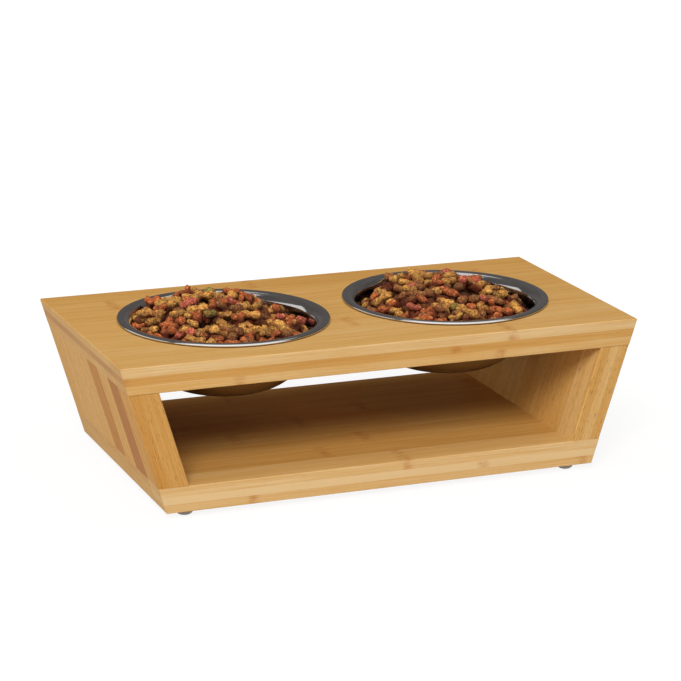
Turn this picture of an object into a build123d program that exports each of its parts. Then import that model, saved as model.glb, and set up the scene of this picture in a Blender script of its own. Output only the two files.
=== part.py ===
from build123d import *

import os
from math import cos, radians, sin, tan

# Raised feeding stand for a dog: two boards and two leaning end panels in laminated bamboo,
# two lift-out steel bowls, and an open shelf for storage between the boards.
# Millimetres. +X runs along the stand, +Y to the rear and +Z up.
# The origin is the middle of the footprint, on the surface that the feet stand on.

# ---- Boards and end panels
top_length = 400.0            # upper face of the top board, end to end
depth = 200.0                 # front to rear, the same for every board
end_lean = 17.15              # degrees that each end leans outward from upright
top_board_t = 20.0
bottom_board_t = 19.0
side_panel_t = 21.5           # square to the panel's own faces
shelf_clear_h = 70.0          # open height between the two boards
edge_round = 0.8              # sanded rounding of the edges that a hand meets

# ---- Bowls
bowl_pitch = 177.8            # between the two bowl axes
rim_d = 156.8                 # outside of the folded rim
rim_h = 2.4                   # the rim stands this far above the top board
rim_flat_w = 7.4              # flat of the rim, from the neck to where its edge folds
hem_w = 3.6                   # sheet folded back flat under the rim
neck_round = 1.6              # where the wall turns out into the rim
bowl_h = 52.6                 # underside of the base to the top of the rim
base_flat_d = 50.0            # flat that the bowl stands on when it is out of the stand
wall_draft = 14.0             # degrees that the wall opens out from upright
steel_t = 0.8
seat_clearance = 2.6          # between the neck of a bowl and its hole in the board
hole_easing = 1.0             # small bevel on both edges of a bowl hole

# ---- Feet: moulded bumpers, stuck under the bottom board
foot_d = 13.0
foot_h = 5.0
foot_band_h = 1.2             # straight band under the board, before the dome starts
foot_tip_d = 6.0              # flat that touches the floor
foot_end_inset = 16.5         # foot axis to the end of the bottom board's lower face
foot_edge_inset = 11.0        # foot axis to the front or rear edge

# ---- Dowels, upright and hidden, between the side panels and the top board
dowel_d = 8.0
dowel_length = 28.0
dowel_in_board = 13.0         # length of a dowel that stands in the top board
dowel_bevel = 1.0
glue_gap = 0.1                # all round a dowel
dowel_end_gap = 0.8           # spare depth past each end of a dowel

# ---- Screws, up through the bottom board along the lean of the side panels
screw_d = 4.0                 # over the thread
screw_length = 42.0           # top of the head to the tip
screw_point_h = 5.0
screw_head_d = 8.0
screw_head_angle = 90.0
screw_head_sink = 1.4         # middle of the head, inside the board's lower face
screw_gap = 0.1               # round the head and the thread
screw_end_gap = 1.0           # spare depth past the tip
drive_d = 3.4                 # cross recess, over its wings
drive_wing_w = 0.9
drive_h = 1.6

# ---- Both kinds of fastener stand in the same rows along a joint
fastener_rows = 3
fastener_edge_inset = 30.0    # first and last row, from the front and rear edges

# ---- Levels and places that follow from the sizes
lean = radians(end_lean)
side_run = side_panel_t / cos(lean)                 # thickness of a side panel, measured level
lower_face_z = foot_h
shelf_z = lower_face_z + bottom_board_t
soffit_z = shelf_z + shelf_clear_h                  # underside of the top board
top_z = soffit_z + top_board_t
rim_top_z = top_z + rim_h

bowl_x = bowl_pitch / 2
hem_r = rim_h / 2                                   # outside of the fold in the rim
neck_r = rim_d / 2 - hem_r - rim_flat_w
bowl_hole_r = neck_r + seat_clearance

dowel_hole_r = dowel_d / 2 + glue_gap
dowel_in_panel = dowel_length - dowel_in_board
screw_bore_r = screw_d / 2 + screw_gap
screw_seat_r = screw_head_d / 2 + screw_gap
fastener_pitch = (depth - 2 * fastener_edge_inset) / (fastener_rows - 1)
fastener_ys = [fastener_edge_inset - depth / 2 + row * fastener_pitch for row in range(fastener_rows)]


def end_x(z):
    """Distance from the middle of the stand to its leaning outer face, at height z."""
    return top_length / 2 - (top_z - z) * tan(lean)


dowel_x = end_x(soffit_z - dowel_in_panel / 2) - side_run / 2
screw_x = end_x(lower_face_z + screw_head_sink) - side_run / 2
foot_x = end_x(lower_face_z) - foot_end_inset
foot_y = depth / 2 - foot_edge_inset


def dowel_places(side):
    """Middles of the dowels at one end of the stand, in the plane of the joint."""
    return [(side * dowel_x, y) for y in fastener_ys]


def screw_places(side):
    """Tops of the screw heads at one end: each +Z points down and out of the bottom board."""
    outward = (-side * sin(lean), 0, -cos(lean))
    seats = [(side * screw_x, y, lower_face_z + screw_head_sink) for y in fastener_ys]
    return [Plane(origin=seat, x_dir=(0, 1, 0), z_dir=outward).location for seat in seats]


def board(low_z, high_z):
    """A full-width board whose ends lean with the stand, before its edges and holes are made."""
    with BuildPart() as blank:
        with BuildSketch(Plane.XZ):
            with BuildLine():
                Polyline(
                    (-end_x(low_z), low_z),
                    (end_x(low_z), low_z),
                    (end_x(high_z), high_z),
                    (-end_x(high_z), high_z),
                    close=True,
                )
            make_face()
        extrude(amount=depth / 2, both=True)
    return blank.part


def side_panel(side):
    """A leaning end panel, mitred to lie flat on both boards, with its dowel and screw holes."""
    with BuildPart() as panel:
        with BuildSketch(Plane.XZ):
            with BuildLine():
                Polyline(
                    (side * end_x(shelf_z), shelf_z),
                    (side * end_x(soffit_z), soffit_z),
                    (side * (end_x(soffit_z) - side_run), soffit_z),
                    (side * (end_x(shelf_z) - side_run), shelf_z),
                    close=True,
                )
            make_face()
        extrude(amount=depth / 2, both=True)
        up_the_lean = Axis((0, 0, 0), (side * sin(lean), 0, cos(lean)))
        fillet(panel.edges().filter_by(up_the_lean), radius=edge_round)
        with BuildSketch(Plane.XY.offset(soffit_z)):
            with Locations(*dowel_places(side)):
                Circle(dowel_hole_r)
        extrude(amount=-(dowel_in_panel + dowel_end_gap), mode=Mode.SUBTRACT)
        with Locations(*screw_places(side)):
            Hole(radius=screw_bore_r, depth=screw_length + screw_end_gap)
    return panel.part


def bowl(x):
    """A pressed steel bowl with a flat base, round sides, and a flat rim folded under at its edge."""
    draft = radians(wall_draft)
    base_r = base_flat_d / 2
    base_z = rim_top_z - bowl_h + steel_t
    neck_foot = (neck_r - neck_round * cos(draft), rim_top_z - neck_round * (1 - sin(draft)))
    reach = (neck_foot[0] - base_r) * cos(draft) - (neck_foot[1] - base_z) * sin(draft)
    side_r = reach / (1 - sin(draft))               # runs from the base into the drafted wall
    with BuildPart() as shell:
        with BuildSketch(Plane(origin=(x, 0, 0), x_dir=(1, 0, 0), z_dir=(0, -1, 0))):
            with BuildLine():
                base = Line((0, base_z), (base_r, base_z))
                side = JernArc(base @ 1, base % 1, side_r, 90 - wall_draft)
                wall = Line(side @ 1, neck_foot)
                neck = JernArc(wall @ 1, wall % 1, neck_round, wall_draft - 90)
                rim = Line(neck @ 1, (neck_r + rim_flat_w, rim_top_z))
                fold = JernArc(rim @ 1, rim % 1, hem_r, -180)
                Line(fold @ 1, (neck_r + rim_flat_w - hem_w, top_z))
                offset(amount=steel_t, side=Side.RIGHT)
            make_face()
        revolve(axis=Axis((x, 0, 0), (0, 0, 1)))
    return shell.part


def foot(x, y):
    """A moulded bumper: a short straight band under the board, and a dome with a flat tip."""
    with BuildPart() as bumper:
        with BuildSketch(Plane(origin=(x, y, 0), x_dir=(1, 0, 0), z_dir=(0, -1, 0))):
            with BuildLine():
                top = Line((0, foot_h), (foot_d / 2, foot_h))
                band = Line(top @ 1, (foot_d / 2, foot_h - foot_band_h))
                dome = TangentArc(band @ 1, (foot_tip_d / 2, 0), tangent=band % 1)
                tip = Line(dome @ 1, (0, 0))
                Line(tip @ 1, top @ 0)
            make_face()
        revolve(axis=Axis((x, y, 0), (0, 0, 1)))
    return bumper.part


# ---- Top board: two bowl holes, and blind dowel holes from below
with BuildPart() as top_board:
    add(board(soffit_z, top_z))
    long_edges = top_board.edges().filter_by(Axis.X)
    upper_ends = top_board.edges().filter_by(Axis.Y).group_by(Axis.Z)[-1]
    fillet(long_edges + upper_ends, radius=edge_round)
    with Locations((-bowl_x, 0, top_z), (bowl_x, 0, top_z)):
        Hole(radius=bowl_hole_r)
    chamfer(top_board.edges(Select.LAST).filter_by(GeomType.CIRCLE), length=hole_easing)
    with BuildSketch(Plane.XY.offset(soffit_z)):
        with Locations(*dowel_places(-1), *dowel_places(1)):
            Circle(dowel_hole_r)
    extrude(amount=dowel_in_board + dowel_end_gap, mode=Mode.SUBTRACT)
top_board.part.label = "top_board"

# ---- Bottom board: the shelf, with leaning screw holes sunk from below
with BuildPart() as bottom_board:
    add(board(lower_face_z, shelf_z))
    long_edges = bottom_board.edges().filter_by(Axis.X)
    lower_ends = bottom_board.edges().filter_by(Axis.Y).group_by(Axis.Z)[0]
    fillet(long_edges + lower_ends, radius=edge_round)
    with Locations(*screw_places(-1), *screw_places(1)):
        CounterSinkHole(
            radius=screw_bore_r,
            counter_sink_radius=screw_seat_r,
            depth=screw_length,
            counter_sink_angle=screw_head_angle,
        )
bottom_board.part.label = "bottom_board"

# ---- One dowel, its middle at the plane of the joint
with BuildPart() as dowel:
    with BuildSketch(Plane.XY.offset(-dowel_in_panel)):
        Circle(dowel_d / 2)
    extrude(amount=dowel_length)
    chamfer(dowel.edges().filter_by(GeomType.CIRCLE), length=dowel_bevel)

# ---- One countersunk wood screw, the middle of its head at the origin and its tip downward
screw_head_h = (screw_head_d - screw_d) / 2 / tan(radians(screw_head_angle / 2))
with BuildPart() as screw:
    with BuildSketch(Plane.XZ):
        with BuildLine():
            Polyline(
                (0, 0),
                (screw_head_d / 2, 0),
                (screw_d / 2, -screw_head_h),
                (screw_d / 2, screw_point_h - screw_length),
                (0, -screw_length),
                close=True,
            )
        make_face()
    revolve(axis=Axis.Z)
    with BuildSketch(Plane.XY):
        Rectangle(drive_d, drive_wing_w)
        Rectangle(drive_wing_w, drive_d)
    extrude(amount=-drive_h, mode=Mode.SUBTRACT)


def dowel_row(side):
    """The dowels at one end of the stand, each a separate solid."""
    with BuildPart() as row:
        with Locations(*[(x, y, soffit_z) for x, y in dowel_places(side)]):
            add(dowel.part)
    return row.part


def screw_row(side):
    """The screws at one end of the stand, each a separate solid."""
    with BuildPart() as row:
        with Locations(*screw_places(side)):
            add(screw.part)
    return row.part


pieces = {
    "left_side_panel": side_panel(-1),
    "right_side_panel": side_panel(1),
    "left_bowl": bowl(-bowl_x),
    "right_bowl": bowl(bowl_x),
    "front_left_foot": foot(-foot_x, -foot_y),
    "front_right_foot": foot(foot_x, -foot_y),
    "rear_left_foot": foot(-foot_x, foot_y),
    "rear_right_foot": foot(foot_x, foot_y),
    "left_dowels": dowel_row(-1),
    "right_dowels": dowel_row(1),
    "left_screws": screw_row(-1),
    "right_screws": screw_row(1),
}
for name, piece in pieces.items():
    piece.label = name

os.makedirs("parts", exist_ok=True)
for piece in (top_board.part, bottom_board.part, *pieces.values()):
    export_step(piece, f"parts/{piece.label}.step")
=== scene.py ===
"""A raised feeding stand for a dog: bamboo boards, steel bowls of dry food and rubber feet."""

import math
import random
from collections import namedtuple
from functools import partial
from itertools import product

import bmesh
import bpy
import numpy as np
from mathutils import Euler, Matrix, Vector, noise


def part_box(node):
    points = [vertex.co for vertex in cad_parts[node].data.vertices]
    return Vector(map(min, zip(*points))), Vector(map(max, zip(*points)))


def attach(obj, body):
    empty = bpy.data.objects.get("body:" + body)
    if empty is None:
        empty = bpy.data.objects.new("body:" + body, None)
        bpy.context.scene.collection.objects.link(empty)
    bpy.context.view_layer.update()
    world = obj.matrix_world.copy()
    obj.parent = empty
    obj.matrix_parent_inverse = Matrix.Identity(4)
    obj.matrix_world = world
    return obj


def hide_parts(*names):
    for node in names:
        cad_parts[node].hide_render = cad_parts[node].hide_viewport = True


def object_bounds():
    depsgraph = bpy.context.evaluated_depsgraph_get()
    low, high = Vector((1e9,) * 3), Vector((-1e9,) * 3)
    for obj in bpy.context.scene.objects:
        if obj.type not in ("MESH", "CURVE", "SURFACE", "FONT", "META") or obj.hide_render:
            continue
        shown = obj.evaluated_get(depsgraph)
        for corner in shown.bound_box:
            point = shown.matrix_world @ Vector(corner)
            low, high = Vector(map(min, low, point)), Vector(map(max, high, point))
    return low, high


bl_info = {
    "name": "Raised feeding stand",
    "version": (1, 0, 0),
    "blender": (4, 5, 0),
    "location": "3D Viewport > Sidebar > Feeding stand",
    "description": "Finishes for the boards, bowls, feet and fasteners, the food, and a studio",
    "category": "Object",
}

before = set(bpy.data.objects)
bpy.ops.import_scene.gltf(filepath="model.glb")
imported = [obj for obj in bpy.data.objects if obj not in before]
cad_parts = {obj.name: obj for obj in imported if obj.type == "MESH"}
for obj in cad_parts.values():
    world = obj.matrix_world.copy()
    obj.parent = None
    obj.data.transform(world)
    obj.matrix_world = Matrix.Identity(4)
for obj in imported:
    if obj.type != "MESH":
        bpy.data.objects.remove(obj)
cad_low, cad_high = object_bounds()

MM = 0.001


# ---------------------------------------------------------------- shared helpers


def hex_colour(code):
    """Linear RGBA from an sRGB hex code."""
    channels = [int(code[i : i + 2], 16) / 255 for i in (0, 2, 4)]
    linear = [c / 12.92 if c <= 0.04045 else ((c + 0.055) / 1.055) ** 2.4 for c in channels]
    return (*linear, 1.0)


def add_node(tree, kind, inputs=None, **settings):
    """Adds one shader node. inputs gives each socket a value, or the node or socket that feeds it.

    A node feeds it from the first output that its settings leave it."""
    made = tree.nodes.new(kind)
    for name, value in settings.items():
        setattr(made, name, value)
    for key, value in (inputs or {}).items():
        if isinstance(value, bpy.types.Node):
            value = next(socket for socket in value.outputs if socket.enabled)
        if isinstance(value, bpy.types.NodeSocket):
            tree.links.new(value, made.inputs[key])
        else:
            made.inputs[key].default_value = value
    return made


def set_ramp(ramp_node, stops, interpolation="LINEAR"):
    """Gives a colour ramp its stops: (place from 0 to 1, colour)."""
    ramp = ramp_node.color_ramp
    ramp.interpolation = interpolation
    while len(ramp.elements) > 1:
        ramp.elements.remove(ramp.elements[-1])
    ramp.elements[0].position, ramp.elements[0].color = stops[0]
    for place, colour in stops[1:]:
        ramp.elements.new(place).color = colour
    return ramp_node


def new_material(name):
    """An empty node material, and add_node for its tree."""
    material = bpy.data.materials.new(name)
    material.use_nodes = True
    material.node_tree.nodes.clear()
    return material, partial(add_node, material.node_tree)


def dress(obj, material):
    """Gives every slot of an object the one material."""
    obj.data.materials.clear()
    obj.data.materials.append(material)


def lathe(name, profile, axis, steps):
    """Turns a profile of (radius, height, normal radius, normal height) about an upright axis.

    The profile runs with its normals on the left. They are kept on the mesh, so that polished sheet
    reflects as smoothly as the real one."""
    points, normals, rings, faces = [], [], [], []
    for radius, height, out, up in profile:
        start = len(points)
        if radius < 1e-6:
            points.append((0.0, 0.0, height))
            normals.append((0.0, 0.0, math.copysign(1.0, up)))
            rings.append([start] * steps)
            continue
        for k in range(steps):
            c, s = math.cos(2 * math.pi * k / steps), math.sin(2 * math.pi * k / steps)
            points.append((radius * c, radius * s, height))
            normals.append((out * c, out * s, up))
        rings.append(list(range(start, start + steps)))
    for ring, after in zip(rings, rings[1:]):
        for k in range(steps):
            n = (k + 1) % steps
            faces.append(tuple(dict.fromkeys((ring[k], after[k], after[n], ring[n]))))
    mesh = bpy.data.meshes.new(name)
    mesh.from_pydata(points, [], faces)
    mesh.shade_smooth()
    mesh.normals_split_custom_set_from_vertices(normals)
    obj = bpy.data.objects.new(name, mesh)
    obj.location = axis
    bpy.context.scene.collection.objects.link(obj)
    return obj


# ---------------------------------------------------------------- sizes and colours to change

COLOUR = {"subtype": "COLOR", "size": 4, "min": 0, "max": 1}


class FeederBamboo(bpy.types.PropertyGroup):
    strip_width: bpy.props.FloatProperty(
        name="Strip width",
        description="Width of the bamboo strips that the boards are glued up from",
        default=25 * MM,
        unit="LENGTH",
    )
    fibre_width: bpy.props.FloatProperty(
        name="Fibre width",
        description="Spacing of the fine fibre streaks, drawn a little coarse so that they show",
        default=0.9 * MM,
        unit="LENGTH",
    )
    joint_width: bpy.props.FloatProperty(
        name="Glue line",
        description="Width of the glue line between two strips",
        default=0.35 * MM,
        unit="LENGTH",
    )
    knot_length: bpy.props.FloatProperty(
        name="Knot length",
        description="Length along the grain of the mark that a joint of the cane leaves",
        default=9 * MM,
        unit="LENGTH",
    )
    pale: bpy.props.FloatVectorProperty(
        name="Pale strip",
        description="Colour of the palest strips",
        default=hex_colour("E0C18E"),
        **COLOUR,
    )
    honey: bpy.props.FloatVectorProperty(
        name="Honey strip",
        description="Colour of most of the strips",
        default=hex_colour("D1A35E"),
        **COLOUR,
    )
    amber: bpy.props.FloatVectorProperty(
        name="Amber strip",
        description="Colour of strips cut near the rind",
        default=hex_colour("C08941"),
        **COLOUR,
    )
    brown: bpy.props.FloatVectorProperty(
        name="Steamed strip",
        description="Colour of strips browned by steaming",
        default=hex_colour("A96F3C"),
        **COLOUR,
    )
    knot: bpy.props.FloatVectorProperty(
        name="Knot",
        description="Colour of the mark where the cane had a joint",
        default=hex_colour("AE6A32"),
        **COLOUR,
    )


class FeederBowls(bpy.types.PropertyGroup):
    sheet: bpy.props.FloatProperty(
        name="Sheet thickness",
        description="Thickness of the steel sheet",
        default=0.8 * MM,
        unit="LENGTH",
    )
    rim_flat: bpy.props.FloatProperty(
        name="Rim flat",
        description="Width of the flat rim from the neck to where the edge folds",
        default=2.4 * MM,
        unit="LENGTH",
    )
    rim_height: bpy.props.FloatProperty(
        name="Rim height",
        description="Height of the folded rim, which rests on the board",
        default=2.4 * MM,
        unit="LENGTH",
    )
    hem: bpy.props.FloatProperty(
        name="Hem",
        description="Width of the sheet that is folded back under the rim",
        default=3.6 * MM,
        unit="LENGTH",
    )
    neck_round: bpy.props.FloatProperty(
        name="Neck radius",
        description="Radius of the soft roll where the wall turns out into the rim",
        default=8 * MM,
        unit="LENGTH",
    )
    base_flat: bpy.props.FloatProperty(
        name="Base flat",
        description="Diameter of the flat in the base",
        default=50 * MM,
        unit="LENGTH",
    )
    wall_draft: bpy.props.FloatProperty(
        name="Wall draft",
        description="Angle that the wall opens out from upright",
        default=math.radians(14),
        unit="ROTATION",
    )
    steel: bpy.props.FloatVectorProperty(
        name="Steel",
        description="Colour that the polished steel gives to what it reflects",
        default=hex_colour("CFCDCB"),
        **COLOUR,
    )


class FeederFeet(bpy.types.PropertyGroup):
    tip: bpy.props.FloatProperty(
        name="Tip flat",
        description="Diameter of the flat that touches the floor",
        default=6 * MM,
        unit="LENGTH",
    )
    band: bpy.props.FloatProperty(
        name="Band height",
        description="Height of the straight band under the board",
        default=1.2 * MM,
        unit="LENGTH",
    )
    rubber: bpy.props.FloatVectorProperty(
        name="Rubber",
        description="Colour of the clear bumper",
        default=hex_colour("C6BFB4"),
        **COLOUR,
    )


class FeederFood(bpy.types.PropertyGroup):
    lobe: bpy.props.FloatProperty(
        name="Piece size",
        description="Distance from the middle of a piece to the middle of its end lobes",
        default=5.1 * MM,
        unit="LENGTH",
    )
    layer: bpy.props.FloatProperty(
        name="Layer depth",
        description="Height that one layer of poured pieces takes up",
        default=3.0 * MM,
        unit="LENGTH",
    )
    layers: bpy.props.IntProperty(
        name="Layers",
        description="Layers of loose pieces that are poured over the packed food",
        default=3,
        min=1,
    )
    heap: bpy.props.FloatProperty(
        name="Heap height",
        description="Height of the heap above the rim",
        default=10.2 * MM,
        unit="LENGTH",
    )
    perch: bpy.props.FloatProperty(
        name="Perch",
        description="Pieces whose top settles higher than this over the heap are picked off",
        default=4.4 * MM,
        unit="LENGTH",
    )
    tan: bpy.props.FloatVectorProperty(
        name="Cereal pieces",
        description="Colour of the tan pieces",
        default=hex_colour("BE8D4C"),
        **COLOUR,
    )
    red: bpy.props.FloatVectorProperty(
        name="Beef pieces",
        description="Colour of the red pieces",
        default=hex_colour("A85C38"),
        **COLOUR,
    )
    pink: bpy.props.FloatVectorProperty(
        name="Bacon pieces",
        description="Colour of the pinkish pieces",
        default=hex_colour("AE5A4C"),
        **COLOUR,
    )
    brown: bpy.props.FloatVectorProperty(
        name="Liver pieces",
        description="Colour of the brown pieces",
        default=hex_colour("7F5534"),
        **COLOUR,
    )
    green: bpy.props.FloatVectorProperty(
        name="Vegetable pieces",
        description="Colour of the green pieces",
        default=hex_colour("7B733A"),
        **COLOUR,
    )


class FeederStudio(bpy.types.PropertyGroup):
    camera_place: bpy.props.FloatVectorProperty(
        name="Camera",
        description="Where the camera stands",
        subtype="TRANSLATION",
        unit="LENGTH",
        default=(-0.7088, -1.7431, 0.6232),
    )
    camera_heading: bpy.props.FloatProperty(
        name="Heading",
        description="How far the camera is turned from straight ahead towards the right",
        default=math.radians(22.237),
        unit="ROTATION",
    )
    camera_tilt: bpy.props.FloatProperty(
        name="Tilt",
        description="How far the camera looks down",
        default=math.radians(15.847),
        unit="ROTATION",
    )
    camera_roll: bpy.props.FloatProperty(
        name="Roll",
        description="How far the camera is rolled, its right side up",
        default=math.radians(0.784),
        unit="ROTATION",
    )
    lens: bpy.props.FloatProperty(
        name="Lens",
        description="Focal length of the lens, in millimetres on a 36 mm wide sensor",
        default=138.19,
        subtype="DISTANCE_CAMERA",
        unit="CAMERA",
    )
    floor: bpy.props.FloatVectorProperty(
        name="Floor",
        description="Colour of the studio floor",
        default=hex_colour("F2F2F3"),
        **COLOUR,
    )


# ---------------------------------------------------------------- bamboo

# Where a glued-up board lies: a corner of its face ply, the way its grain runs, the way from its
# face through to its back, and its thickness. Strips are counted from the front.
Lay = namedtuple("Lay", "corner along through thickness")
# What makes each board its own: its lay, the tone of each strip from 0 pale to 1 browned, where
# the first knot of each strip lies as a share of the knots' spacing, how many millimetres closer
# the knots of each deeper ply are, how much browner its long edges are, how dark its open vessels
# are, and its random number
Board = namedtuple("Board", "lay tones knot_places knot_step edge_tone open_vessels seed")
PLIES = 3
STRIPS = 8
PIECES = PLIES * STRIPS
FACE_PLY_SHARE = 0.36
CORE_PLY_SHARE = 0.30
# Millimetres between two knots of one strip, and how strongly they colour it
KNOT_SPACING = 300.0
KNOT_DEPTH = 0.55
# How far the fine streaks and the broad bands move a strip's tone, and how dark a glue line is
FIBRE_CONTRAST = 0.72
BAND_CONTRAST = 0.34
GLUE_DEPTH = 0.16


def board_lay(node):
    """The lay of a level board, its grain along the stand and its face upward."""
    low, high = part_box(node)
    corner = Vector((low.x, low.y, high.z))
    return Lay(corner, Vector((1, 0, 0)), Vector((0, 0, -1)), high.z - low.z)


def panel_lay(node, side):
    """The lay of a leaning end panel, its grain up the lean and its face outward."""
    low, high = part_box(node)
    shelf_low, shelf_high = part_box("bottom_board")
    outer_top = high.x if side > 0 else low.x
    outer_foot = shelf_high.x if side > 0 else shelf_low.x
    inner_foot = low.x if side > 0 else high.x
    lean = math.atan2(abs(outer_top - outer_foot), high.z - low.z)
    along = Vector((side * math.sin(lean), 0, math.cos(lean)))
    inward = Vector((-side * math.cos(lean), 0, math.sin(lean)))
    level_run = abs(outer_foot - inner_foot)
    return Lay(Vector((outer_foot, low.y, low.z)), along, inward, level_run * math.cos(lean))


def bamboo_material(name, board):
    """Laminated bamboo, planed, sanded and finished with a clear matt lacquer.

    Three plies of strips are laid side by side, each a different tone from pale to steam-browned.
    Long fibre streaks run along the grain, a browner band crosses each strip where the cane had a
    joint, and cut ends show the fibre bundles as dots. It gives the eye warm, slightly uneven bands
    with a soft sheen and no hard gloss."""
    sizes = bpy.context.scene.feeder_bamboo
    lay = board.lay
    material, node = new_material(name)

    # Millimetres along the grain (u), across the strips (v) and down from the face (w)
    coords = node("ShaderNodeTexCoord")
    place = node(
        "ShaderNodeVectorMath", {0: coords.outputs["Object"], 1: lay.corner}, operation="SUBTRACT"
    )
    place = node("ShaderNodeVectorMath", {0: place, "Scale": 1 / MM}, operation="SCALE")
    u, v, w = (
        node("ShaderNodeVectorMath", {0: place, 1: way}, operation="DOT_PRODUCT")
        for way in (lay.along, (0, 1, 0), lay.through)
    )

    # Which ply and which strip: a whole number from 0 to 23
    depth_share = node("ShaderNodeMath", {0: w, 1: lay.thickness / MM}, operation="DIVIDE")
    past_face, past_core = (
        node("ShaderNodeMath", {0: depth_share, 1: share}, operation="GREATER_THAN")
        for share in (FACE_PLY_SHARE, FACE_PLY_SHARE + CORE_PLY_SHARE)
    )
    ply = node("ShaderNodeMath", {0: past_face, 1: past_core}, operation="ADD")
    strip = node("ShaderNodeMath", {0: v, 1: sizes.strip_width / MM}, operation="DIVIDE")
    strip = node("ShaderNodeMath", {0: strip}, operation="FLOOR")
    piece = node("ShaderNodeMath", {0: ply, 1: STRIPS, 2: strip}, operation="MULTIPLY_ADD")
    piece_place = node(
        "ShaderNodeMath", {0: piece, 1: 1 / PIECES, 2: 0.5 / PIECES}, operation="MULTIPLY_ADD"
    )
    own_number = node("ShaderNodeMath", {0: piece, 1: board.seed + 0.37}, operation="ADD")
    chance = node("ShaderNodeTexWhiteNoise", {"W": own_number}, noise_dimensions="1D")
    # Each piece of cane has its own part of the noise
    shift = node("ShaderNodeMath", {0: chance, 1: 900.0}, operation="MULTIPLY")

    def of_each_piece(values):
        """The value of the piece that a point lies in, from a list of one for each piece."""
        stops = [(k / PIECES, (value, value, value, 1)) for k, value in enumerate(values)]
        return set_ramp(node("ShaderNodeValToRGB", {0: piece_place}), stops, "CONSTANT")

    def in_grain(length, width):
        """The place in the grain, for marks about so many millimetres long and wide."""
        drawn_out = node(
            "ShaderNodeMath", {0: u, 1: 1 / length, 2: shift}, operation="MULTIPLY_ADD"
        )
        over = node("ShaderNodeMath", {0: v, 1: 1 / width}, operation="MULTIPLY")
        down = node("ShaderNodeMath", {0: w, 1: 1 / width}, operation="MULTIPLY")
        return node("ShaderNodeCombineXYZ", {0: drawn_out, 1: over, 2: down})

    def facing(way):
        """How squarely the surface faces a way or its opposite, from 0 to 1."""
        share = node(
            "ShaderNodeVectorMath", {0: coords.outputs["Normal"], 1: way}, operation="DOT_PRODUCT"
        )
        return node("ShaderNodeMath", {0: share}, operation="ABSOLUTE")

    # Fibre: fine streaks and broad soft bands, both long along the grain
    fine_place = in_grain(70, sizes.fibre_width / MM)
    fine = node(
        "ShaderNodeTexNoise", {"Vector": fine_place, "Scale": 1.0, "Detail": 3.0, "Roughness": 0.6}
    )
    broad = node("ShaderNodeTexNoise", {"Vector": in_grain(160, 6.5), "Scale": 1.0, "Detail": 2.0})

    # Knots: the browner band where the cane had a joint, once in each spacing of a strip, with a
    # wavy edge and smudged
    spacing = node(
        "ShaderNodeMath", {0: ply, 1: -board.knot_step, 2: KNOT_SPACING}, operation="MULTIPLY_ADD"
    )
    half_spacing = node("ShaderNodeMath", {0: spacing, 1: 0.5}, operation="MULTIPLY")
    first = node(
        "ShaderNodeMath", {0: of_each_piece(board.knot_places), 1: spacing}, operation="MULTIPLY"
    )
    knot_u = node("ShaderNodeMath", {0: u, 1: first}, operation="SUBTRACT")
    wobble = node("ShaderNodeTexNoise", {"Vector": place, "Scale": 0.22, "Detail": 2.0})
    knot_u = node("ShaderNodeMath", {0: wobble, 1: 5.0, 2: knot_u}, operation="MULTIPLY_ADD")
    from_knot = node("ShaderNodeMath", {0: knot_u, 1: half_spacing}, operation="PINGPONG")
    knot_reach = 0.85 * sizes.knot_length / MM
    near_knot = node(
        "ShaderNodeMapRange",
        {"Value": from_knot, 1: 0.0, 2: knot_reach, 3: 1.0, 4: 0.0},
        interpolation_type="SMOOTHERSTEP",
    )
    smudge = node(
        "ShaderNodeTexNoise",
        {"Vector": in_grain(7, 4), "Scale": 1.0, "Detail": 3.0, "Roughness": 0.6},
    )
    smudge = node("ShaderNodeMapRange", {"Value": smudge, 1: 0.34, 2: 0.66})
    knot = node("ShaderNodeMath", {0: near_knot, 1: smudge}, operation="MULTIPLY")
    knot = node("ShaderNodeMath", {0: knot, 1: KNOT_DEPTH}, operation="MULTIPLY")

    # Tone of the surface: the strip's own, stirred by fibre and bands, and the long edges' own
    tone = of_each_piece(board.tones)
    for streak, contrast in ((fine, FIBRE_CONTRAST), (broad, BAND_CONTRAST)):
        stir = node("ShaderNodeMath", {0: streak, 1: 0.5}, operation="SUBTRACT")
        tone = node("ShaderNodeMath", {0: stir, 1: contrast, 2: tone}, operation="MULTIPLY_ADD")
    edge = facing((0, 1, 0))
    tone = node("ShaderNodeMath", {0: edge, 1: board.edge_tone, 2: tone}, operation="MULTIPLY_ADD")
    colours = [(0.0, sizes.pale), (0.36, sizes.honey), (0.66, sizes.amber), (1.0, sizes.brown)]
    wood = set_ramp(node("ShaderNodeValToRGB", {0: tone}), colours)
    wood = node("ShaderNodeMix", {"Factor": knot, "A": wood, "B": sizes.knot}, data_type="RGBA")

    # Glue lines between the strips
    from_joint = node("ShaderNodeMath", {0: v, 1: sizes.strip_width / MM / 2}, operation="PINGPONG")
    glue = node(
        "ShaderNodeMapRange",
        {"Value": from_joint, 1: 0.0, 2: sizes.joint_width / MM, 3: GLUE_DEPTH, 4: 0.0},
        interpolation_type="SMOOTHSTEP",
    )
    # Cut ends: bundles of fibre about 1.1 mm apart show as dots, and the wood is a little paler
    end_grain = node(
        "ShaderNodeMapRange",
        {"Value": facing(lay.along), 1: 0.6, 2: 0.9},
        interpolation_type="SMOOTHSTEP",
    )
    over, down = (node("ShaderNodeMath", {0: way, 1: 0.9}, operation="MULTIPLY") for way in (v, w))
    section = node("ShaderNodeCombineXYZ", {1: over, 2: down})
    bundles = node("ShaderNodeTexVoronoi", {"Vector": section, "Scale": 1.0})
    dots = node("ShaderNodeMapRange", {"Value": bundles, 1: 0.15, 2: 0.45, 3: 0.35, 4: 0.0})
    dots = node("ShaderNodeMath", {0: dots, 1: end_grain}, operation="MULTIPLY")
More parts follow.
